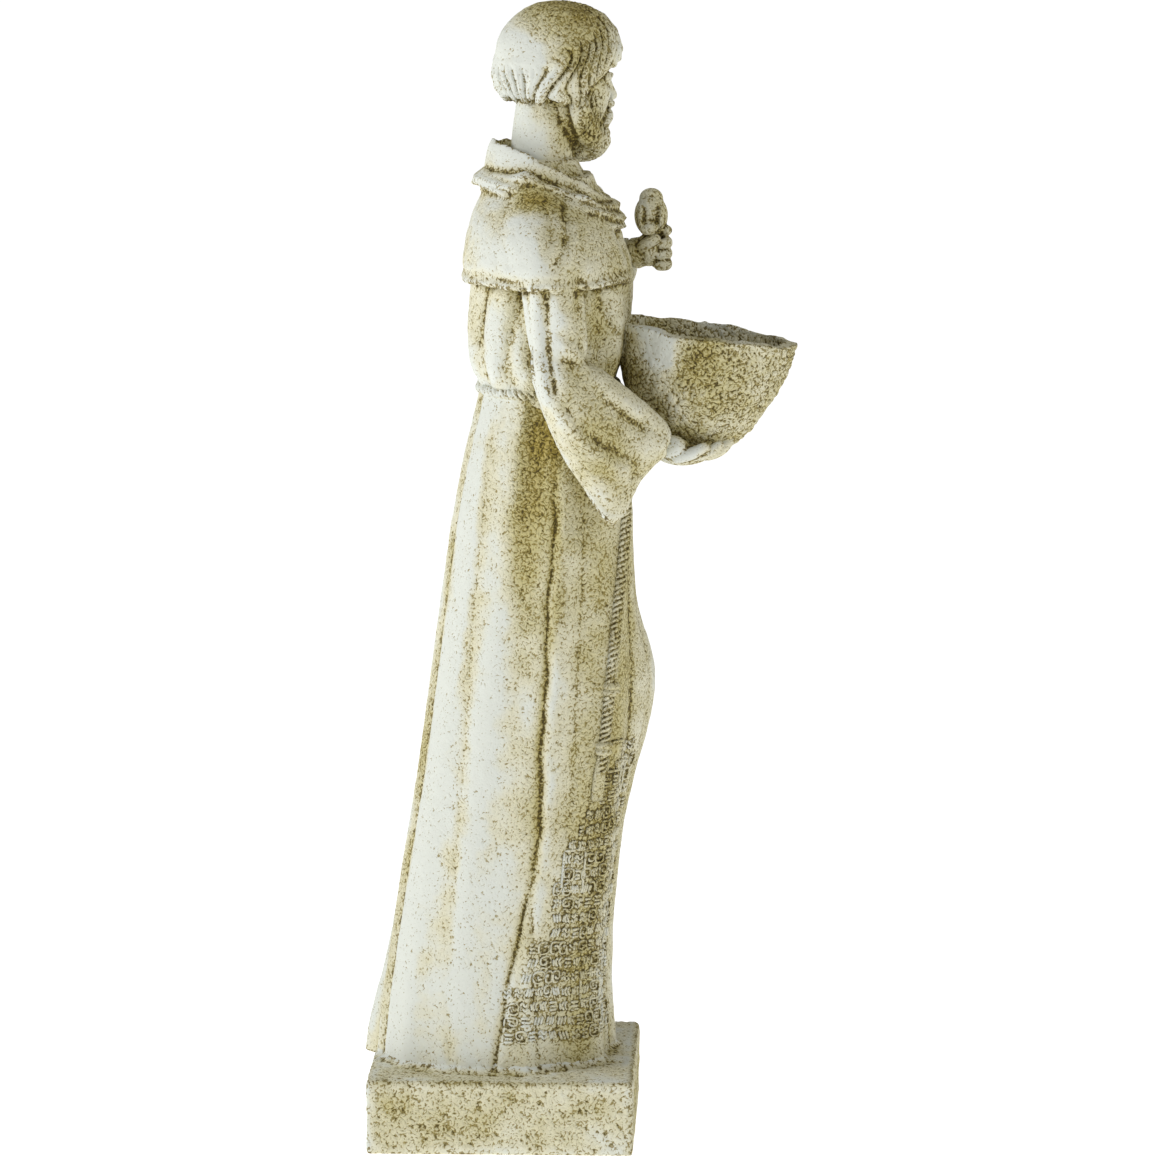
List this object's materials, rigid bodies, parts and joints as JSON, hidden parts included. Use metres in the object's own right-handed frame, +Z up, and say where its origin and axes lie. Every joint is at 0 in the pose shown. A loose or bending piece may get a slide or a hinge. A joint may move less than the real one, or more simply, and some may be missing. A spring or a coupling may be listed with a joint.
{
  "type": "garden statue of a friar with a bird bath bowl",
  "caption": "Robed friar on a square plinth, carrying a deep oval bowl in one hand and a small bird on the other.",
  "frame": {"origin": "centre of the plinth's underside", "axes": "+Z up, the figure faces -Y, its left hand is on the +X side"},
  "size_m": [0.2166, 0.3192, 0.8411],
  "materials": {
    "weathered_cast_stone": "matt, chalky, cream white with ochre in the recesses"
  },
  "bodies": {
    "root": {"saint_francis_statue": "weathered_cast_stone"}
  },
  "joints": []
}
